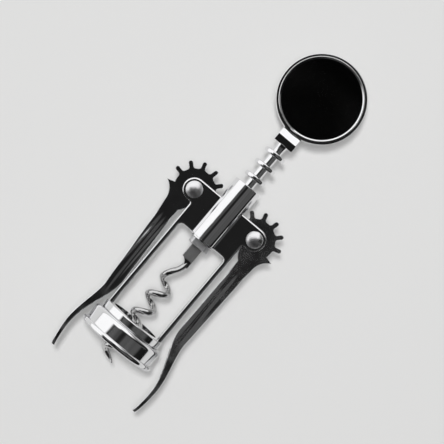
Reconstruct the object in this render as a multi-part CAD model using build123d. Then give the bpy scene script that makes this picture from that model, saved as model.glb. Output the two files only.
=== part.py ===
from build123d import *
import math
import os

# A twin-lever corkscrew, in millimetres. Z runs up the spindle, the front faces -Y,
# and the origin is the centre of the bell's lower rim, where it meets the bottle.

# Clearances
RUNNING_CLEARANCE = 0.05    # radial, shaft in hole
SEAT_CLEARANCE = 0.02       # radial, pieces that are pressed or crimped together
RACK_CLEARANCE = 0.3        # radial, rack rings in the sleeve
GEAR_SIDE_CLEARANCE = 0.2   # each side of a gear, to its ear
SLOT_CLEARANCE = 0.8        # gear tips to the ends of the sleeve's tooth slots
STOP_GAP = 0.1              # stop washer to the sleeve's lower end, at rest
LABEL_BOND = 0.02           # label to the resin over it
PICK = 0.01                 # how near a corner or edge lies to the place it is looked for at

# Bell
BOTTLE_BORE = 31.0          # inside the cup, over the bottle's lip
CUP_WALL = 1.7
CUP_HEIGHT = 9.6
CUP_TOP_THICKNESS = 1.5
CUP_SHOULDER_RADIUS = 2.0
CUP_INNER_RADIUS = 0.9
LIP_REACH = 1.1
LIP_HEIGHT = 2.4
LIP_ROUNDING = 0.95         # of the lip's two outer edges
LIP_HOLLOW = 0.1            # where the lip meets the cup's wall
MOUTH_ROUNDING = 0.35       # of the cup's mouth, inside
RING_DIAMETER = 30.2
RING_WALL = 4.0
RING_HEIGHT = 3.5
RING_ROUNDING = 0.6
FOOT_MARGIN = 0.68          # legs' outer corners to the ring's edge

# Rack and spindle
RACK_PITCH = 6.43
RACK_RINGS_ABOVE = 5        # rings above the one that lies between the gears
RACK_RINGS_BELOW = 1
RACK_RADIUS = 5.1
TOOTH_RING_THICKNESS = 2.1
TOOTH_RING_ROUNDING = 0.7
RACK_LIFT = 0.6             # the middle ring, above the pivots' height
ROD_DIAMETER = 4.4
NECK_GAP = 5.2              # top ring's middle to the neck block
NECK_FLARE = 0.4            # the rod's flare under the block, radial
NECK_FLARE_HEIGHT = 3.0
TENON_DIAMETER = 3.6
TENON_LENGTH = 4.8
COLLAR_DIAMETER = 9.6
COLLAR_FLATS = 7.5          # across the two crimped flats
COLLAR_HEIGHT = 3.0
COLLAR_CHAMFER = 0.3
WASHER_DIAMETER = 12.0
WASHER_THICKNESS = 0.6
PIN_DIAMETER = 1.2

# Worm
SHANK_DIAMETER = 2.6
SHANK_LENGTH = 7.0
TANG_WIDTH = 5.3
TANG_THICKNESS = 2.8
TANG_LENGTH = 6.4           # to where the step into the wire begins
TANG_STEP = 3.4             # height of the curved step
TANG_EDGE_ROUNDING = 0.3
WIRE_DIAMETER = 2.7
WIRE_OVERHANG = 0.1         # wire past the tang's edge, at its start
WORM_DIAMETER = 9.2
WORM_PITCH = 9.5
WORM_TURNS = 4.92
WORM_LEAD = 7.2             # height from the tang to where the helix is reckoned from
WORM_LEAD_TURNS = 0.5       # of the first turn, taken up by the bend out of the tang
WORM_POINT_TURNS = 0.35     # the part of the last turn that tapers to the point
WORM_POINT_DIAMETER = 0.5
WORM_POINT_FLARE = 0.9      # the point, outside the helix's middle line
WORM_POINT_FULLNESS = 2.0   # power by which the point tapers
WORM_POINT_SECTIONS = 6

# Frame shells
SHEET = 1.0
PIVOT_HEIGHT = 71.2
EAR_RADIUS = 5.0
EAR_NOTCH_RADIUS = 1.0
WINDOW_DROP = 14.1          # pivots' height to the top of the window
WINDOW_RADIUS = 1.6
SLEEVE_RISE = 15.5          # pivots' height to the top of the sleeve
LEG_WIDTH = 2.1
SHELL_ROUNDING = 0.7
SLEEVE_ROUNDING = 0.35

# Pivot rivets
SOCKET_DIAMETER = 4.2
SOCKET_BORE = 2.6
STUD_TIP_GAP = 0.4
RIVET_HEAD_DIAMETER = 7.3
RIVET_HEAD_RIM = 0.5
RIVET_HEAD_HEIGHT = 2.1

# Levers
GEAR_TEETH = 12             # per full turn
GEAR_TEETH_CUT = 7
GEAR_ADDENDUM = 0.05        # beyond the pitch circle
TOOTH_HEIGHT = 3.4
TOOTH_WIDTH = 1.9
TOOTH_ROOT_RADIUS = 1.1
TOOTH_ENGAGEMENT = 1.0      # depth of a tooth past the rack rings' edge
TOOTH_PHASE = 13.7          # degrees above the horizontal, outermost full tooth
GEAR_THICKNESS = 3.0
LEVER_CHAMFER = 0.15
LEVER_TILT = 1.25           # degrees, both levers lean this way at rest within the teeth's play
FLANK_REACH = 2.6           # inward from the pivot, where the web's inner edge meets the gear
FLANK_DROP = 6.0            # below the pivot, the same
FLANK_BOW = 0.6             # how far that edge bows out
WEB_DROP = 22.0             # below the pivot, where the gear's web ends inside the arm
WEB_INSET = 0.6             # the web's end, inside each edge of the arm
ARM_ROOT_INSET = 0.12       # the arm's top, inside each face of the gear
ARM_TOP_DROP = 11.0         # below the pivot, where the arm leaves the gear
ARM_TOP_CLEARANCE = 2.3     # arm's inner edge to the line of the leg, at its top
ARM_LOW_CLEARANCE = 0.2     # the same at the bend, on the side where the lever leans in
ARM_TOP_WIDTH = 7.1
ARM_LOW_WIDTH = 6.1
ARM_DEPTH = 4.0
ARM_ROUNDING = 0.45         # along the arm's edges
ARM_ROUNDING_SHARE = 0.4    # the most that rounding takes of the arm's thinner side
ARM_SECTIONS = 18           # cross-sections that shape the arm and paddle
ARM_SWELL_LENGTH = 36.0     # over which the arm thickens from the gear
BEND_ABOVE_RING = 8.6       # the arm starts to bend out round the bell
PADDLE_LENGTH = 38.1
PADDLE_WIDTH = 9.0
PADDLE_THICKNESS = 1.7
PADDLE_THINNING = 2.2       # power by which the arm thins along the paddle
PADDLE_CLEARANCE = 5.0      # bell's lip to the middle of the paddle at its widest
PADDLE_CURL = 0.68          # share of the paddle's length at which it turns back inward
PADDLE_END_TAPER = 0.8      # how far the paddle's end narrows, 1 being to a point

# Head
HEAD_DIAMETER = 38.4
HEAD_THICKNESS = 5.0
HEAD_EDGE_ROUNDING = 0.35
HEAD_RIM_WIDTH = 1.15       # the head's edge to the bezel's foot
BEZEL_SLOPE = 0.26          # width of the bezel's outer slope
BEZEL_HEIGHT = 0.26         # its crest, above the rim
BEZEL_ROUNDING = 0.1
BEVEL_WIDTH = 0.6           # from the bezel's crest inward
BEVEL_DROP = 0.54           # from the crest down to the resin's edge
BLOCK_WIDTH = 9.3
BLOCK_HEIGHT = 6.1
BLOCK_DEPTH = 5.0           # at its ridge
BLOCK_SLOPE = 0.7           # how far the ridge stands out
BLOCK_ROUNDING = 0.25
LABEL_THICKNESS = 0.2
LABEL_GAP = 0.15            # radial, label to the bevel
DOME_EDGE = 0.2
DOME_CROWN = 0.55

# Derived sizes: bell
cup_bore = BOTTLE_BORE / 2
cup_radius = cup_bore + CUP_WALL
lip_radius = cup_radius + LIP_REACH
ring_radius = RING_DIAMETER / 2
ring_bore = ring_radius - RING_WALL
ring_top = CUP_HEIGHT + RING_HEIGHT

# Derived sizes: gears and frame
pitch_radius = GEAR_TEETH * RACK_PITCH / (2 * math.pi)
gear_tip = pitch_radius + GEAR_ADDENDUM
gear_root = gear_tip - TOOTH_HEIGHT
pivot_offset = RACK_RADIUS + gear_tip - TOOTH_ENGAGEMENT
ear_inner = GEAR_THICKNESS / 2 + GEAR_SIDE_CLEARANCE
ear_outer = ear_inner + SHEET
ear_top = PIVOT_HEIGHT + EAR_RADIUS
window_top = PIVOT_HEIGHT - WINDOW_DROP
sleeve_top = PIVOT_HEIGHT + SLEEVE_RISE
sleeve_bore = RACK_RADIUS + RACK_CLEARANCE
sleeve_radius = sleeve_bore + SHEET
leg_outer = math.sqrt((ring_radius - FOOT_MARGIN) ** 2 - ear_outer**2)
leg_inner = leg_outer - LEG_WIDTH

# Derived sizes: spindle
middle_ring = PIVOT_HEIGHT + RACK_LIFT
top_ring = middle_ring + RACK_RINGS_ABOVE * RACK_PITCH
block_bottom = top_ring + NECK_GAP
block_top = block_bottom + BLOCK_HEIGHT
head_middle = block_top + HEAD_DIAMETER / 2
washer_top = window_top - STOP_GAP
collar_top = washer_top - WASHER_THICKNESS
collar_bottom = collar_top - COLLAR_HEIGHT
tang_bottom = collar_bottom - TANG_LENGTH
worm_radius = (WORM_DIAMETER - WIRE_DIAMETER) / 2
worm_top = tang_bottom - WORM_LEAD
wire_lead_offset = TANG_WIDTH / 2 - WIRE_DIAMETER / 2 + WIRE_OVERHANG

# Derived sizes: levers, outward from the pivot, and head
bend_drop = PIVOT_HEIGHT - ring_top - BEND_ABOVE_RING
lean_at_bend = bend_drop * math.tan(math.radians(LEVER_TILT))
arm_top_offset = leg_outer + ARM_TOP_CLEARANCE + ARM_TOP_WIDTH / 2 - pivot_offset
arm_low_offset = leg_outer + ARM_LOW_CLEARANCE + lean_at_bend + ARM_LOW_WIDTH / 2 - pivot_offset
paddle_reach = lip_radius + PADDLE_CLEARANCE - pivot_offset - arm_low_offset
bezel_foot = HEAD_DIAMETER / 2 - HEAD_RIM_WIDTH
bezel_crest = bezel_foot - BEZEL_SLOPE
bevel_inner = bezel_crest - BEVEL_WIDTH
crest_height = HEAD_THICKNESS / 2 + BEZEL_HEIGHT
dome_edge_height = crest_height - BEVEL_DROP
recess_floor = dome_edge_height - DOME_EDGE - LABEL_BOND - LABEL_THICKNESS
label_radius = bevel_inner - LABEL_GAP


def turned(points, radii):
    """A solid turned about Z from a closed outline of (radius, height) corners."""
    outline = FilletPolyline(*points, radius=radii, close=True)
    return revolve(Plane.XZ * make_face(outline), Axis.Z)


def rod(radius, low, high):
    """A plain cylinder on Z between two heights."""
    return Pos(0, 0, (low + high) / 2) * Cylinder(radius, high - low)


def domed_rod(radius, low, high, crown):
    """A cylinder on Z with a domed top. The dome is part of a ball whose poles lie to the sides."""
    ball_radius = (radius**2 + crown**2) / (2 * crown)
    ball = Pos(0, 0, high - ball_radius) * Rot(0, 90, 0) * Sphere(ball_radius)
    return rod(radius, low, high + crown) & ball


def facing_front(solid):
    """Turns a solid made along +Z to face the front, -Y."""
    return Rot(90, 0, 0) * solid


def bell_cup():
    corners = [
        (cup_bore, 0),
        (lip_radius, 0),
        (lip_radius, LIP_HEIGHT),
        (cup_radius, LIP_HEIGHT),
        (cup_radius, CUP_HEIGHT),
        (ring_bore, CUP_HEIGHT),
        (ring_bore, CUP_HEIGHT - CUP_TOP_THICKNESS),
        (cup_bore, CUP_HEIGHT - CUP_TOP_THICKNESS),
    ]
    lip = [LIP_ROUNDING, LIP_ROUNDING, LIP_HOLLOW]
    return turned(corners, [MOUTH_ROUNDING, *lip, CUP_SHOULDER_RADIUS, 0, 0, CUP_INNER_RADIUS])


def bell_ring():
    corners = [
        (ring_bore, CUP_HEIGHT),
        (ring_radius, CUP_HEIGHT),
        (ring_radius, ring_top),
        (ring_bore, ring_top),
    ]
    return turned(corners, [0, RING_ROUNDING, RING_ROUNDING, 0])


def shell_outline():
    """The flat pattern of ears, plate and legs, seen from the front."""
    plate = Pos(0, (ring_top + ear_top) / 2) * Rectangle(2 * leg_outer, ear_top - ring_top)
    for side in (-1, 1):
        ear_end = Pos(side * pivot_offset, PIVOT_HEIGHT)
        plate += ear_end * Circle(EAR_RADIUS)
        plate += Pos(side * pivot_offset / 2, PIVOT_HEIGHT) * Rectangle(pivot_offset, 2 * EAR_RADIUS)
    notches = [
        corner
        for corner in plate.vertices()
        if abs(abs(corner.X) - leg_outer) < PICK and ring_top + PICK < corner.Y < PIVOT_HEIGHT
    ]
    plate = fillet(notches, EAR_NOTCH_RADIUS)
    window_height = 2 * (window_top - ring_top)
    plate -= Pos(0, ring_top) * RectangleRounded(2 * leg_inner, window_height, WINDOW_RADIUS)
    for side in (-1, 1):
        rivet_hole = Circle(SOCKET_DIAMETER / 2 + SEAT_CLEARANCE)
        plate -= Pos(side * pivot_offset, PIVOT_HEIGHT) * rivet_hole
    return plate


def shell_edges(plate):
    """The outline edges of a shell's outer face, without rivet holes and feet."""
    outer_face = plate.faces().sort_by(Axis.Y)[0]
    return [edge for edge in outer_face.outer_wire().edges() if edge.center().Z > ring_top + PICK]


def front_shell():
    """Half of the frame: ears and legs from sheet, with half of the sleeve pressed into it."""
    plate = extrude(Plane.XZ.offset(ear_inner) * shell_outline(), SHEET)
    plate = fillet(shell_edges(plate), SHELL_ROUNDING)
    sleeve = rod(sleeve_radius, window_top, sleeve_top)
    sleeve = fillet(sleeve.edges().sort_by(Axis.Z)[-1:], SLEEVE_ROUNDING)
    front_space = Pos(0, -sleeve_radius, PIVOT_HEIGHT) * Box(
        4 * sleeve_radius, 2 * sleeve_radius, 4 * SLEEVE_RISE
    )
    slot_reach = math.sqrt(gear_tip**2 - (pivot_offset - sleeve_radius) ** 2) + SLOT_CLEARANCE
    tooth_slot = Pos(0, 0, PIVOT_HEIGHT) * Box(4 * sleeve_radius, 2 * ear_inner, 2 * slot_reach)
    shell = plate + (sleeve & front_space)
    shell -= rod(sleeve_bore, window_top - SHEET, sleeve_top + SHEET)
    return shell - tooth_slot


def rivet_head():
    """A domed head standing on the plane z = 0, with a short straight rim."""
    crown = RIVET_HEAD_HEIGHT - RIVET_HEAD_RIM
    return domed_rod(RIVET_HEAD_DIAMETER / 2, 0, RIVET_HEAD_HEIGHT, crown)


def rivet_socket():
    """The tubular half of a pivot rivet: head at the rear, tube forward to the front ear."""
    head = Rot(180, 0, 0) * rivet_head()
    tube = rod(SOCKET_DIAMETER / 2, 0, 2 * ear_outer)
    bore = rod(SOCKET_BORE / 2, 0, 2 * ear_outer)
    return facing_front(Pos(0, 0, -ear_outer) * (head + tube - bore))


def rivet_stud():
    """The front half of a pivot rivet: its shank is pressed into the socket's tube."""
    shank = rod(SOCKET_BORE / 2 - SEAT_CLEARANCE, -2 * ear_outer + STUD_TIP_GAP, 0)
    return facing_front(Pos(0, 0, ear_outer) * (rivet_head() + shank))


def gear_outline():
    """Gear disc with its teeth, about the pivot. The arm hangs below it on the +X side."""
    gear = Circle(gear_root)
    bar_length = TOOTH_HEIGHT + TOOTH_WIDTH
    for index in range(GEAR_TEETH_CUT):
        angle = TOOTH_PHASE + index * 360 / GEAR_TEETH
        gear += Rot(0, 0, angle) * Pos(gear_tip - bar_length / 2, 0) * SlotOverall(bar_length, TOOTH_WIDTH)
    roots = [corner for corner in gear.vertices() if math.hypot(corner.X, corner.Y) < gear_root + PICK]
    return fillet(roots, TOOTH_ROOT_RADIUS)


def web_flank():
    """The web's inner edge, bowing up and inward from the arm to the gear."""
    inner = (arm_top_offset - ARM_TOP_WIDTH / 2, -ARM_TOP_DROP)
    return SagittaArc(inner, (-FLANK_REACH, -FLANK_DROP), FLANK_BOW)


def gear_relief():
    """What the gear's disc lacks: the part of it below the teeth, inward of the web."""
    flank = web_flank()
    far = -2 * gear_tip
    below = Polyline(flank @ 1, (far, -FLANK_DROP), (far, -ARM_TOP_DROP), flank @ 0)
    return make_face(flank + below)


def web_outline():
    """The flat web from the gear to the arm, with a pointed last tooth and a hollow outer edge."""
    corner_angle = math.radians(TOOTH_PHASE - 360 / GEAR_TEETH)
    corner = (gear_tip * math.cos(corner_angle), gear_tip * math.sin(corner_angle))
    outer = (arm_top_offset + ARM_TOP_WIDTH / 2, -ARM_TOP_DROP)
    low_offset, low_width, _ = arm_section(WEB_DROP)
    low_outer = (low_offset + low_width / 2 - WEB_INSET, -WEB_DROP)
    low_inner = (low_offset - low_width / 2 + WEB_INSET, -WEB_DROP)
    hollow = Edge.make_tangent_arc((*outer, 0), (0, 1, 0), (*corner, 0))
    flank = web_flank()
    to_gear = Polyline(hollow @ 1, (0, 0), flank @ 1)
    to_arm = Polyline(flank @ 0, low_inner, low_outer, outer)
    return make_face([hollow] + to_gear.edges() + flank.edges() + to_arm.edges())


def arm_section(drop):
    """The arm's cross-section at a depth below the pivot, as (offset, width, depth)."""
    along = (drop - ARM_TOP_DROP) / (bend_drop - ARM_TOP_DROP)
    if along <= 1:
        offset = arm_top_offset + (arm_low_offset - arm_top_offset) * along
        swell = math.sin(min(1, (drop - ARM_TOP_DROP) / ARM_SWELL_LENGTH) * math.pi / 2) ** 2
        full_width = ARM_TOP_WIDTH + (ARM_LOW_WIDTH - ARM_TOP_WIDTH) * along
        width = full_width - 2 * ARM_ROOT_INSET * (1 - swell)
        root_depth = GEAR_THICKNESS - 2 * ARM_ROOT_INSET
        depth = root_depth + (ARM_DEPTH - root_depth) * swell
    else:
        down = min(1, (drop - bend_drop) / PADDLE_LENGTH)
        swing = math.sin(down * math.pi / 2 / PADDLE_CURL)
        width = PADDLE_THICKNESS + (ARM_LOW_WIDTH - PADDLE_THICKNESS) * (1 - down) ** PADDLE_THINNING
        if down <= PADDLE_CURL:
            swing = swing**2
            depth = ARM_DEPTH + (PADDLE_WIDTH - ARM_DEPTH) * swing
        else:
            past = (down - PADDLE_CURL) / (1 - PADDLE_CURL)
            depth = PADDLE_WIDTH * math.sqrt(1 - PADDLE_END_TAPER * past**3)
        offset = arm_low_offset + paddle_reach * swing
    return offset, width, depth


def arm():
    """The arm and its paddle, lofted down from the gear."""
    arm_length = bend_drop + PADDLE_LENGTH - ARM_TOP_DROP
    sections = []
    for index in range(ARM_SECTIONS + 1):
        drop = ARM_TOP_DROP + arm_length * index / ARM_SECTIONS
        offset, width, depth = arm_section(drop)
        rounding = min(ARM_ROUNDING, ARM_ROUNDING_SHARE * min(width, depth))
        sections.append(Pos(offset, 0, -drop) * RectangleRounded(width, depth, rounding))
    return loft(sections)


def lever():
    """The right-hand lever about its pivot at the origin, hanging straight down."""
    outline = gear_outline() - gear_relief() + web_outline()
    plate = extrude(Plane.XZ * outline, GEAR_THICKNESS / 2, both=True)
    rims = plate.faces().filter_by(Axis.Y).edges()
    plate = chamfer(rims, LEVER_CHAMFER)
    bearing = facing_front(rod(SOCKET_DIAMETER / 2 + RUNNING_CLEARANCE, -GEAR_THICKNESS, GEAR_THICKNESS))
    return plate + arm() - bearing


def rack_rod():
    core = rod(ROD_DIAMETER / 2, collar_bottom, block_bottom)
    core += rod(TENON_DIAMETER / 2, block_bottom, block_bottom + TENON_LENGTH)
    for index in range(-RACK_RINGS_BELOW, RACK_RINGS_ABOVE + 1):
        middle = middle_ring + index * RACK_PITCH
        ring = rod(RACK_RADIUS, middle - TOOTH_RING_THICKNESS / 2, middle + TOOTH_RING_THICKNESS / 2)
        core += fillet(ring.edges().filter_by(GeomType.CIRCLE), TOOTH_RING_ROUNDING)
    flare_low = block_bottom - NECK_FLARE_HEIGHT
    rod_edge = ROD_DIAMETER / 2
    hollow = Edge.make_tangent_arc(
        (rod_edge, flare_low, 0), (0, 1, 0), (rod_edge + NECK_FLARE, block_bottom, 0)
    )
    flare = make_face(
        [
            hollow,
            Edge.make_line(hollow @ 1, (0, block_bottom)),
            Edge.make_line((0, block_bottom), (0, flare_low)),
            Edge.make_line((0, flare_low), hollow @ 0),
        ]
    )
    core += revolve(Plane.XZ * flare, Axis.Z)
    core -= rod(SHANK_DIAMETER / 2 + SEAT_CLEARANCE, collar_bottom, collar_bottom + SHANK_LENGTH)
    return core - pin_hole()


def pin_middle():
    return Pos(0, 0, collar_bottom + COLLAR_HEIGHT / 2) * Rot(0, 90, 0)


def pin_hole():
    return pin_middle() * Cylinder(PIN_DIAMETER / 2 + SEAT_CLEARANCE, 2 * COLLAR_DIAMETER)


def worm_pin():
    pin = Cylinder(PIN_DIAMETER / 2, COLLAR_DIAMETER - 2 * COLLAR_CHAMFER)
    return pin_middle() * pin


def stop_collar():
    """A short collar crimped on the rod's end, with a flat at the front and the back."""
    collar = rod(COLLAR_DIAMETER / 2, collar_bottom, collar_top)
    collar &= Pos(0, 0, collar_bottom) * Box(2 * COLLAR_DIAMETER, COLLAR_FLATS, 4 * COLLAR_HEIGHT)
    rims = collar.faces().filter_by(Axis.Z).edges()
    collar = chamfer(rims, COLLAR_CHAMFER)
    collar -= rod(ROD_DIAMETER / 2 + SEAT_CLEARANCE, collar_bottom, collar_top)
    return collar - pin_hole()


def stop_washer():
    washer = rod(WASHER_DIAMETER / 2, collar_top, washer_top)
    return washer - rod(ROD_DIAMETER / 2 + RUNNING_CLEARANCE, collar_top, washer_top)


def biarc(start, start_way, end, end_way):
    """Two arcs that leave start along start_way, meet smoothly and reach end along end_way."""
    chord = end - start
    ways = start_way + end_way
    square = ways.dot(ways) - 4
    linear = -2 * chord.dot(ways)
    leg = (-linear - math.sqrt(linear**2 - 4 * square * chord.dot(chord))) / (2 * square)
    first = start + start_way * leg
    last = end - end_way * leg
    middle = (first + last) / 2
    return [
        Edge.make_tangent_arc(start, start_way, middle),
        Edge.make_tangent_arc(middle, (last - first).normalized(), end),
    ]


def helix_point(turns, flare=0):
    """Place and direction on the worm's middle line, a number of turns down from its top."""
    angle = 2 * math.pi * turns
    radius = worm_radius + flare
    place = Vector(radius * math.cos(angle), -radius * math.sin(angle), worm_top - WORM_PITCH * turns)
    way = Vector(-radius * math.sin(angle), -radius * math.cos(angle), -WORM_PITCH / (2 * math.pi))
    return place, way.normalized()


def worm_wire():
    """The constant-thickness wire: a lead from the tang, then quarter turns of the helix."""
    lead = Vector(wire_lead_offset, 0, tang_bottom)
    arcs = biarc(lead, Vector(0, 0, -1), *helix_point(WORM_LEAD_TURNS))
    full_turns = WORM_TURNS - WORM_POINT_TURNS - WORM_LEAD_TURNS
    quarters = math.ceil(full_turns * 4)
    for index in range(quarters):
        upper = helix_point(WORM_LEAD_TURNS + full_turns * index / quarters)
        lower = helix_point(WORM_LEAD_TURNS + full_turns * (index + 1) / quarters)
        arcs += biarc(*upper, *lower)
    section = Plane(lead, z_dir=(0, 0, -1)) * Circle(WIRE_DIAMETER / 2)
    return sweep(section, path=Wire(arcs))


def worm_point():
    """The last part of the worm, tapering and flaring out to its point."""
    sections = []
    for index in range(WORM_POINT_SECTIONS + 1):
        share = index / WORM_POINT_SECTIONS
        turns = WORM_TURNS - WORM_POINT_TURNS * (1 - share)
        place, way = helix_point(turns, WORM_POINT_FLARE * share**2)
        thinning = (WORM_POINT_DIAMETER - WIRE_DIAMETER) * share**WORM_POINT_FULLNESS
        outward = Vector(place.X, place.Y, 0)
        sections.append(Plane(place, x_dir=outward, z_dir=way) * Circle((WIRE_DIAMETER + thinning) / 2))
    return loft(sections)


def worm_tang():
    """The flat tang: full width under the collar, stepping in a hollow curve to the wire."""
    half = TANG_WIDTH / 2
    step_low = tang_bottom - TANG_STEP
    wire_left = wire_lead_offset - WIRE_DIAMETER / 2 + WIRE_OVERHANG
    step = Edge.make_tangent_arc((wire_left, step_low, 0), (0, 1, 0), (-half, tang_bottom, 0))
    outline = make_face(
        [
            step,
            Edge.make_line((-half, tang_bottom), (-half, collar_bottom)),
            Edge.make_line((-half, collar_bottom), (half, collar_bottom)),
            Edge.make_line((half, collar_bottom), (half, step_low)),
            Edge.make_line((half, step_low), (wire_left, step_low)),
        ]
    )
    tang = extrude(Plane.XZ * outline, TANG_THICKNESS / 2, both=True)
    return fillet(tang.faces().filter_by(Axis.Y).edges(), TANG_EDGE_ROUNDING)


def worm():
    shank = rod(SHANK_DIAMETER / 2, collar_bottom, collar_bottom + SHANK_LENGTH)
    return worm_tang() + worm_wire() + worm_point() + shank - pin_hole()


def head_body():
    """The cast head: a thick disc with a bezel round its recess, and the neck block below it."""
    half = HEAD_THICKNESS / 2
    radius = HEAD_DIAMETER / 2
    corners = [
        (0, -half),
        (radius, -half),
        (radius, half),
        (bezel_foot, half),
        (bezel_crest, crest_height),
        (bevel_inner, dome_edge_height),
        (bevel_inner, recess_floor),
        (0, recess_floor),
    ]
    edge_rounding = HEAD_EDGE_ROUNDING
    disc = turned(corners, [0, edge_rounding, edge_rounding, 0, BEZEL_ROUNDING, 0, 0, 0])
    ridge = BLOCK_DEPTH / 2
    edge = ridge - BLOCK_SLOPE
    sides = [
        (-edge, block_bottom),
        (edge, block_bottom),
        (ridge, (block_bottom + block_top) / 2),
        (edge, block_top),
        (edge, block_top + HEAD_RIM_WIDTH),
        (-edge, block_top + HEAD_RIM_WIDTH),
        (-edge, block_top),
        (-ridge, (block_bottom + block_top) / 2),
    ]
    block = extrude(Plane.YZ * make_face(Polyline(*sides, close=True)), BLOCK_WIDTH / 2, both=True)
    block = fillet(block.faces().filter_by(Axis.X).edges(), BLOCK_ROUNDING)
    head = Pos(0, 0, head_middle) * facing_front(disc) + block
    return head - rod(TENON_DIAMETER / 2 + SEAT_CLEARANCE, block_bottom, block_bottom + TENON_LENGTH)


def head_label():
    disc = rod(label_radius, recess_floor, recess_floor + LABEL_THICKNESS)
    return Pos(0, 0, head_middle) * facing_front(disc)


def head_dome():
    """Clear resin over the label: a thin edge and a low crown."""
    low = dome_edge_height - DOME_EDGE
    dome = domed_rod(label_radius, low, dome_edge_height + DOME_CROWN, DOME_CROWN)
    return Pos(0, 0, head_middle) * facing_front(dome)


def at_pivot(side, solid):
    return Pos(side * pivot_offset, 0, PIVOT_HEIGHT) * solid


def hanging(lever_solid):
    """A lever about its pivot, leaning by the teeth's play."""
    return Rot(0, -LEVER_TILT, 0) * lever_solid


def all_parts():
    shell = front_shell()
    right = lever()
    left = mirror(right, about=Plane.YZ)
    parts = {
        "front_shell": shell,
        "rear_shell": Rot(0, 0, 180) * shell,
        "bell_ring": bell_ring(),
        "bell_cup": bell_cup(),
        "left_lever": at_pivot(-1, hanging(left)),
        "right_lever": at_pivot(1, hanging(right)),
        "stop_washer": stop_washer(),
        "rack_rod": rack_rod(),
        "stop_collar": stop_collar(),
        "worm": worm(),
        "worm_pin": worm_pin(),
        "head_body": head_body(),
        "head_label": head_label(),
        "head_dome": head_dome(),
    }
    for name, side in (("left", -1), ("right", 1)):
        parts[f"{name}_rivet_stud"] = at_pivot(side, rivet_stud())
        parts[f"{name}_rivet_socket"] = at_pivot(side, rivet_socket())
    return parts


os.makedirs("parts", exist_ok=True)
for node, solid in all_parts().items():
    export_step(solid, f"parts/{node}.step")
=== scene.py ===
import bpy
import math
from mathutils import Matrix, Vector


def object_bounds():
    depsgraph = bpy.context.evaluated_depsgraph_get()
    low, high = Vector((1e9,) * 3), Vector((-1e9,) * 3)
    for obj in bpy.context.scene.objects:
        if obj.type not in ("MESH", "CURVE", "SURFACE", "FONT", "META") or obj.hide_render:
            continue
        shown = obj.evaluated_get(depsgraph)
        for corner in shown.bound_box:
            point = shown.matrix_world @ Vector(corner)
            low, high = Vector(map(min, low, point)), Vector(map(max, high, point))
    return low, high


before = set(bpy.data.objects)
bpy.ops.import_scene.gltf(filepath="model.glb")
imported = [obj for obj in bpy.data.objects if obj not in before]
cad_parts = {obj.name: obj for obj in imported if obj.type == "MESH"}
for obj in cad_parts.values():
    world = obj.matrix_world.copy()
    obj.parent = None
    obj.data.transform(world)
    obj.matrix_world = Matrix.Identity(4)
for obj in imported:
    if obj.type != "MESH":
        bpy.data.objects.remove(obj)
cad_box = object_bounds()

# Camera, from the photograph: its frame and lens in pixels, and the scale at the spindle
PHOTO_SIZE = 444
LENS_PIXELS = 1667
METRES_PER_PIXEL = 0.00042
CAMERA_ROLL = math.radians(40.1)
AIM = Vector((0.0012, 0.0, 0.0682))
SENSOR = 36.0

# Noise: its usual detail, no stretch, and the values between which most of it lies
NOISE_DETAIL = 3.0
EVEN = (1, 1, 1)
NOISE_RANGE = (0.3, 0.7)

# Plate: the mottling, hairline marks and waves that all plated pieces have
MOTTLE_SCALE = 160
MOTTLE_SHADE = 0.93         # the darker patches' colour, as a share of the plate's
MOTTLE_RANGE = (0.25, 0.75)
MOTTLE_GLOSS = (0.7, 1.5)   # the patches' roughness, as shares of the plate's
HAIRLINE_SCALE = 900
HAIRLINE_DETAIL = 4.0
HAIRLINE_STRETCH = (1, 1, 0.06)
HAIRLINE_STRENGTH = 0.05
HAIRLINE_HEIGHT = 0.00002
WAVE_SIZE = 0.006
WAVE_DETAIL = 1.0

# Plain plated pieces: each finish's colour, roughness and height of waves, and the nodes that have it
PLATE_COLOUR = (0.88, 0.88, 0.89)
RIVET_COLOUR = (0.86, 0.86, 0.87)
FRAME_NODES = ["front_shell", "rear_shell", "bell_ring", "bell_cup"]
RIVET_NODES = [f"{side}_rivet_{half}" for side in ("left", "right") for half in ("stud", "socket")]
PLATES = {
    "frame_plate": (PLATE_COLOUR, 0.06, 0.00002, FRAME_NODES),
    "rivet_plate": (RIVET_COLOUR, 0.32, 0.00002, RIVET_NODES),
    "spindle_plate": (PLATE_COLOUR, 0.08, 0.00001, ["stop_washer", "rack_rod"]),
    "collar_plate": (PLATE_COLOUR, 0.50, 0.00002, ["stop_collar"]),
    "head_plate": (PLATE_COLOUR, 0.05, 0.00001, ["head_body"]),
}

# Levers: cast plate with streaks along the arms
LEVER_COLOUR = (0.82, 0.82, 0.83)
LEVER_ROUGHNESS = {"left": 0.07, "right": 0.16}
STREAK_HEIGHT = 0.0018
STREAK_SIZE = 0.0048
STREAK_STRETCH = (1, 1, 0.05)
STREAK_SPAN = (0.024, 0.060)    # going up, where the streaks are first full and where they have gone
STREAK_FADE = 0.016             # the length over which they come and go

# Worm: plated wire, and the duller tang at its top
WORM_COLOUR = (0.60, 0.60, 0.60)
WORM_ROUGHNESS = 0.08
WORM_WAVE_HEIGHT = 0.00006
WORM_WAVE_SIZE = 0.002
TANG_LOW = 0.0455
TANG_FADE = 0.002
TANG_ROUGHNESS = 0.42

# Label: black print, faintly clouded
PRINT_SCALE = 300
PRINT_DARK = (0.0004, 0.0004, 0.0004, 1)
PRINT_LIGHT = (0.0009, 0.0009, 0.001, 1)
PRINT_ROUGHNESS = (0.10, 0.16)
PRINT_SPECULAR = 0.1

# Dome: clear cast resin with a faint ripple
RESIN_COLOUR = (0.97, 0.97, 0.98, 1)
RESIN_ROUGHNESS = 0.03
RESIN_IOR = 1.5
RIPPLE_SCALE = 120
RIPPLE_DETAIL = 1.0
RIPPLE_STRENGTH = 0.3
RIPPLE_HEIGHT = 0.00001

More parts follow.
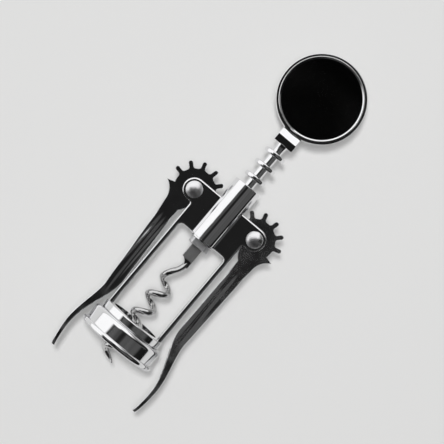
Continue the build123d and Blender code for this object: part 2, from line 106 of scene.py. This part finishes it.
# Stage: the pale table that the corkscrew lies on, and the background past its edges
TABLE_GAP = 0.0012          # behind the bell, so that the head clears the table when it turns
TABLE_REACH = 1.5
TABLE_COLOUR = (0.80, 0.80, 0.795)
TABLE_GRAIN = 1500
GRAIN_SHADE = 0.99          # the grain's darker specks, as a share of the table's colour
BACKGROUND = (0.73, 0.73, 0.725, 1)

# Studio: what bare metal and resin see, in degrees from the camera, right and up positive
ROOM_LEFT = -30             # a dark room on the camera's side, with a white panel to its left
ROOM_RIGHT = 101            # a grey panel to its right
ROOM_TOP = 24               # a ceiling above it
ROOM_BOTTOM = -48           # a dark floor below it
ROOM_EDGE = 4
LEFT_LEAN = (10, 15)        # within this rise, the room's left edge leans by this much
TOP_LEAN = (60, 14)         # within this turn, the ceiling's edge leans by this much
FLOOR_EDGE = 12
BACK_LEFT = -132            # a grey back past the white panel
CEILING_RIGHT = 34          # the ceiling is white to the left of this and grey to the right
CEILING_EDGE = 16
DIM_PANEL_TURN = (-24, 74)  # a dim panel across the room
DIM_PANEL_RISE = (-14, 8)
DIM_PANEL_EDGE = 4
LENS_SHADE = (4.5, 11)      # a dark shade round the lens, from its full part to its outer edge
CLUTTER_SCALE = 2.5
CLUTTER_RANGE = (0.75, 1.25)

# Studio: how bright each of these is, and the even light on what isn't mirrored
DRAPE_LEVEL = 0.010
DIM_LEVEL = 0.085
LENS_SHADE_LEVEL = 0.016
FLOOR_LEVEL = 0.05
WHITE_LEVEL = 1.12
CEILING_LEVEL = 0.17
GREY_LEVEL = 0.34
BACK_LEVEL = 0.62
FILL_LEVEL = 0.26

# Lamps, as offset from the aim, disc size and watts: a key up and to the left, and a front fill
LAMPS = {
    "key": (Vector((-0.13, -1.30, 0.13)), 0.16, 7.1),
    "front": (Vector((0.0, -1.30, 0.0)), 0.30, 4.6),
}


class Shader:
    """Short calls for building a node tree."""

    # Places of a mix node's colour sockets, which share their names with its other sockets
    COLOUR_INPUTS = (6, 7)
    COLOUR_OUTPUT = 2

    def __init__(self, tree):
        self.tree = tree
        self.nodes = tree.nodes
        self.nodes.clear()

    def add(self, kind, inputs=None, **settings):
        """A node, with settings, and inputs by name or place."""
        node = self.nodes.new(kind)
        for key, value in settings.items():
            setattr(node, key, value)
        for key, value in (inputs or {}).items():
            self.feed(node.inputs[key], value)
        return node

    def feed(self, socket, value):
        """Links a socket to another node's output, or sets its value."""
        if isinstance(value, bpy.types.NodeSocket):
            self.tree.links.new(value, socket)
        else:
            socket.default_value = value

    def calculate(self, operation, *values):
        """One operation on numbers."""
        node = self.add("ShaderNodeMath", operation=operation)
        for socket, value in zip(node.inputs, values):
            self.feed(socket, value)
        return node.outputs[0]

    def step(self, value, low, high, start=0.0, end=1.0):
        """A smooth step from start to end as value goes from low to high."""
        inputs = {"Value": value, "From Min": low, "From Max": high, "To Min": start, "To Max": end}
        node = self.add("ShaderNodeMapRange", inputs, interpolation_type="SMOOTHSTEP")
        return node.outputs["Result"]

    def edge(self, angle, place, width):
        """0 before an angle reaches a place and 1 after it. Place and soft width are in degrees."""
        return self.step(angle, math.radians(place - width), math.radians(place + width))

    def window(self, angle, span, width):
        """1 between the two places of a span and 0 outside it, over soft edges, in degrees."""
        start, end = (self.edge(angle, place, width) for place in span)
        return self.calculate("SUBTRACT", start, end)

    def lean(self, angle, other, amounts):
        """An angle less a smooth swing that goes with another angle.

        The amounts are the other angle's reach and the swing, in degrees.
        """
        reach, swing = (math.radians(amount) for amount in amounts)
        return self.calculate("SUBTRACT", angle, self.step(other, -reach, reach, -swing, swing))

    def mix(self, share, first, second):
        """Mixes two numbers."""
        inputs = {"Value": share, "To Min": first, "To Max": second}
        return self.add("ShaderNodeMapRange", inputs).outputs["Result"]

    def blend(self, share, *colours):
        """Mixes two colours."""
        node = self.add("ShaderNodeMix", {"Factor": share}, data_type="RGBA")
        for place, colour in zip(self.COLOUR_INPUTS, colours):
            self.feed(node.inputs[place], colour)
        return node.outputs[self.COLOUR_OUTPUT]

    def noise(self, place, scale, detail=NOISE_DETAIL, stretch=EVEN):
        """Noise by place, with features about 1/scale wide."""
        mapping = self.add("ShaderNodeMapping", {"Vector": place, "Scale": stretch})
        inputs = {"Vector": mapping.outputs[0], "Scale": scale, "Detail": detail}
        return self.add("ShaderNodeTexNoise", inputs).outputs["Fac"]

    def principled(self, inputs):
        """Ends a material with a principled surface."""
        surface = self.add("ShaderNodeBsdfPrincipled", inputs)
        self.add("ShaderNodeOutputMaterial", {"Surface": surface.outputs[0]})


def material(name):
    """A new material, its shader, and the place of each point in the object's own space."""
    made = bpy.data.materials.new(name)
    made.use_nodes = True
    shader = Shader(made.node_tree)
    return made, shader, shader.add("ShaderNodeTexCoord").outputs["Object"]


def chrome(
    name,
    colour,
    roughness,
    wave_height,
    wave_size=WAVE_SIZE,
    wave_stretch=EVEN,
    wave_span=None,
    tang=False,
):
    """Polished plate: faint mottling in colour and gloss, hairline marks and a slight waviness.

    The waviness keeps to the heights of wave_span, where that is given. With tang, the plate is
    duller from the worm's tang up.
    """
    made, shader, place = material(name)
    height = shader.add("ShaderNodeSeparateXYZ", {0: place}).outputs["Z"]
    mottle = shader.noise(place, MOTTLE_SCALE)
    darker = [MOTTLE_SHADE * part for part in colour]
    shade = shader.blend(mottle, (*darker, 1), (*colour, 1))
    gloss = shader.step(mottle, *MOTTLE_RANGE, *(roughness * share for share in MOTTLE_GLOSS))
    if tang:
        dull = shader.step(height, TANG_LOW, TANG_LOW + TANG_FADE, 0.0, TANG_ROUGHNESS)
        gloss = shader.calculate("MAXIMUM", gloss, dull)
    hairline = shader.noise(place, HAIRLINE_SCALE, HAIRLINE_DETAIL, HAIRLINE_STRETCH)
    marks = {"Height": hairline, "Strength": HAIRLINE_STRENGTH, "Distance": HAIRLINE_HEIGHT}
    scratch = shader.add("ShaderNodeBump", marks)
    strength = 1.0
    if wave_span is not None:
        come, go = (shader.step(height, end - STREAK_FADE, end) for end in wave_span)
        strength = shader.calculate("SUBTRACT", come, go)
    waves = {
        "Height": shader.noise(place, 1 / wave_size, WAVE_DETAIL, wave_stretch),
        "Strength": strength,
        "Distance": wave_height,
        "Normal": scratch.outputs[0],
    }
    relief = shader.add("ShaderNodeBump", waves).outputs[0]
    shader.principled({"Base Color": shade, "Metallic": 1.0, "Roughness": gloss, "Normal": relief})
    return made


def gloss_black(name):
    """Black print under resin: near black with the faintest clouding."""
    made, shader, place = material(name)
    cloud = shader.noise(place, PRINT_SCALE)
    shade = shader.blend(cloud, PRINT_DARK, PRINT_LIGHT)
    gloss = shader.step(cloud, *NOISE_RANGE, *PRINT_ROUGHNESS)
    shader.principled({"Base Color": shade, "Roughness": gloss, "Specular IOR Level": PRINT_SPECULAR})
    return made


def clear_resin(name):
    """Clear resin, all but smooth."""
    made, shader, place = material(name)
    ripple = shader.noise(place, RIPPLE_SCALE, RIPPLE_DETAIL)
    relief = {"Height": ripple, "Strength": RIPPLE_STRENGTH, "Distance": RIPPLE_HEIGHT}
    inputs = {
        "Base Color": RESIN_COLOUR,
        "Roughness": RESIN_ROUGHNESS,
        "IOR": RESIN_IOR,
        "Transmission Weight": 1.0,
        "Normal": shader.add("ShaderNodeBump", relief).outputs[0],
    }
    shader.principled(inputs)
    return made


def table_surface(name):
    """Pale matt paper, seen from its front only."""
    made, shader, place = material(name)
    grain = shader.noise(place, TABLE_GRAIN)
    darker = [GRAIN_SHADE * part for part in TABLE_COLOUR]
    shade = shader.blend(grain, (*darker, 1), (*TABLE_COLOUR, 1))
    paper = shader.add("ShaderNodeBsdfDiffuse", {"Color": shade})
    clear = shader.add("ShaderNodeBsdfTransparent")
    behind = shader.add("ShaderNodeNewGeometry").outputs["Backfacing"]
    seen = shader.add("ShaderNodeMixShader", {0: behind, 1: paper.outputs[0], 2: clear.outputs[0]})
    shader.add("ShaderNodeOutputMaterial", {"Surface": seen.outputs[0]})
    return made


def make_table():
    """A sheet behind the corkscrew, facing the camera."""
    depth = cad_box[1].y + TABLE_GAP
    ways = [(-1, -1), (1, -1), (1, 1), (-1, 1)]
    corners = [(x * TABLE_REACH, depth, z * TABLE_REACH) for x, z in ways]
    mesh = bpy.data.meshes.new("table")
    mesh.from_pydata(corners, [], [range(len(corners))])
    table = bpy.data.objects.new("table", mesh)
    bpy.context.scene.collection.objects.link(table)
    mesh.materials.append(table_surface("table_paper"))


def room_level(shader, way, towards, left_turn, rise):
    """How bright the room on the camera's side is, with its dim panel, lens shade and clutter."""
    dim_turn = shader.window(left_turn, DIM_PANEL_TURN, DIM_PANEL_EDGE)
    dim_rise = shader.window(rise, DIM_PANEL_RISE, DIM_PANEL_EDGE)
    room = shader.mix(shader.calculate("MULTIPLY", dim_turn, dim_rise), DRAPE_LEVEL, DIM_LEVEL)
    shade_inner, shade_outer = (math.cos(math.radians(angle)) for angle in LENS_SHADE)
    room = shader.mix(shader.step(towards, shade_outer, shade_inner), room, LENS_SHADE_LEVEL)
    clutter = shader.step(shader.noise(way, CLUTTER_SCALE), *NOISE_RANGE, *CLUTTER_RANGE)
    return shader.calculate("MULTIPLY", room, clutter)


def studio_level(shader):
    """How bright the studio is in each direction, as a number."""
    way = shader.add("ShaderNodeTexCoord").outputs["Generated"]
    parts = shader.add("ShaderNodeSeparateXYZ", {0: way}).outputs
    towards = shader.calculate("MULTIPLY", parts["Y"], -1.0)
    turn = shader.calculate("ARCTAN2", parts["X"], towards)
    rise = shader.calculate("ARCSINE", parts["Z"])
    left_turn = shader.lean(turn, rise, LEFT_LEAN)
    top_rise = shader.lean(rise, turn, TOP_LEAN)
    room = room_level(shader, way, towards, left_turn, rise)
    sides = shader.mix(shader.edge(turn, ROOM_RIGHT, ROOM_EDGE), room, GREY_LEVEL)
    sides = shader.mix(shader.edge(left_turn, ROOM_LEFT, ROOM_EDGE), WHITE_LEVEL, sides)
    sides = shader.mix(shader.edge(turn, BACK_LEFT, ROOM_EDGE), BACK_LEVEL, sides)
    sides = shader.mix(shader.edge(rise, ROOM_BOTTOM, FLOOR_EDGE), FLOOR_LEVEL, sides)
    ceiling = shader.mix(shader.edge(turn, CEILING_RIGHT, CEILING_EDGE), WHITE_LEVEL, CEILING_LEVEL)
    return shader.mix(shader.edge(top_rise, ROOM_TOP, ROOM_EDGE), sides, ceiling)


def make_world():
    """Pale all round to the camera, the studio to bare metal and resin, and even light to the rest."""
    world = bpy.data.worlds.new("studio")
    world.use_nodes = True
    bpy.context.scene.world = world
    shader = Shader(world.node_tree)
    level = studio_level(shader)
    studio = shader.add("ShaderNodeCombineColor", {0: level, 1: level, 2: level}).outputs[0]
    ray = shader.add("ShaderNodeLightPath").outputs
    mirrored = shader.calculate("MAXIMUM", ray["Is Glossy Ray"], ray["Is Transmission Ray"])
    fill = (FILL_LEVEL, FILL_LEVEL, FILL_LEVEL, 1)
    seen = shader.blend(ray["Is Camera Ray"], shader.blend(mirrored, fill, studio), BACKGROUND)
    background = shader.add("ShaderNodeBackground", {"Color": seen, "Strength": 1.0})
    shader.add("ShaderNodeOutputWorld", {"Surface": background.outputs[0]})


def make_lamps():
    """Lamps for the table and its shadow. The metal shows the studio, so they are hidden from it."""
    for name, (offset, size, watts) in LAMPS.items():
        data = bpy.data.lights.new(name, "AREA")
        data.shape = "DISK"
        data.size = size
        data.energy = watts
        lamp = bpy.data.objects.new(name, data)
        lamp.location = AIM + offset
        lamp.rotation_mode = "QUATERNION"
        lamp.rotation_quaternion = (-offset).to_track_quat("-Z", "Y")
        lamp.visible_glossy = False
        lamp.visible_transmission = False
        bpy.context.scene.collection.objects.link(lamp)


def make_camera():
    """Square on to the front, rolled so that the spindle leans as in the photograph."""
    right = Vector((math.cos(CAMERA_ROLL), 0, math.sin(CAMERA_ROLL)))
    up = Vector((-math.sin(CAMERA_ROLL), 0, math.cos(CAMERA_ROLL)))
    back = Vector((0, -1, 0))
    data = bpy.data.cameras.new("camera")
    data.sensor_width = SENSOR
    data.lens = SENSOR * LENS_PIXELS / PHOTO_SIZE
    camera = bpy.data.objects.new("camera", data)
    place = AIM + back * LENS_PIXELS * METRES_PER_PIXEL
    camera.matrix_world = Matrix.Translation(place) @ Matrix((right, up, back)).transposed().to_4x4()
    bpy.context.scene.collection.objects.link(camera)
    bpy.context.scene.camera = camera


def dress(nodes, finish):
    """Gives nodes a finish in place of their own."""
    for name in nodes:
        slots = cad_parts[name].data.materials
        slots.clear()
        slots.append(finish)


def dress_levers():
    """Gives each lever a cast plate of its own."""
    for side, roughness in LEVER_ROUGHNESS.items():
        cast = chrome(
            f"{side}_lever_plate",
            LEVER_COLOUR,
            roughness,
            STREAK_HEIGHT,
            STREAK_SIZE,
            STREAK_STRETCH,
            STREAK_SPAN,
        )
        dress([f"{side}_lever"], cast)


def dress_all():
    """Gives every node its finish."""
    for name, (colour, roughness, wave_height, nodes) in PLATES.items():
        dress(nodes, chrome(name, colour, roughness, wave_height))
    dress_levers()
    wire = chrome("worm_plate", WORM_COLOUR, WORM_ROUGHNESS, WORM_WAVE_HEIGHT, WORM_WAVE_SIZE, tang=True)
    dress(["worm", "worm_pin"], wire)
    dress(["head_label"], gloss_black("label_print"))
    dress(["head_dome"], clear_resin("dome_resin"))


bpy.context.scene.view_settings.view_transform = "Standard"
make_camera()
make_world()
make_lamps()
make_table()
dress_all()
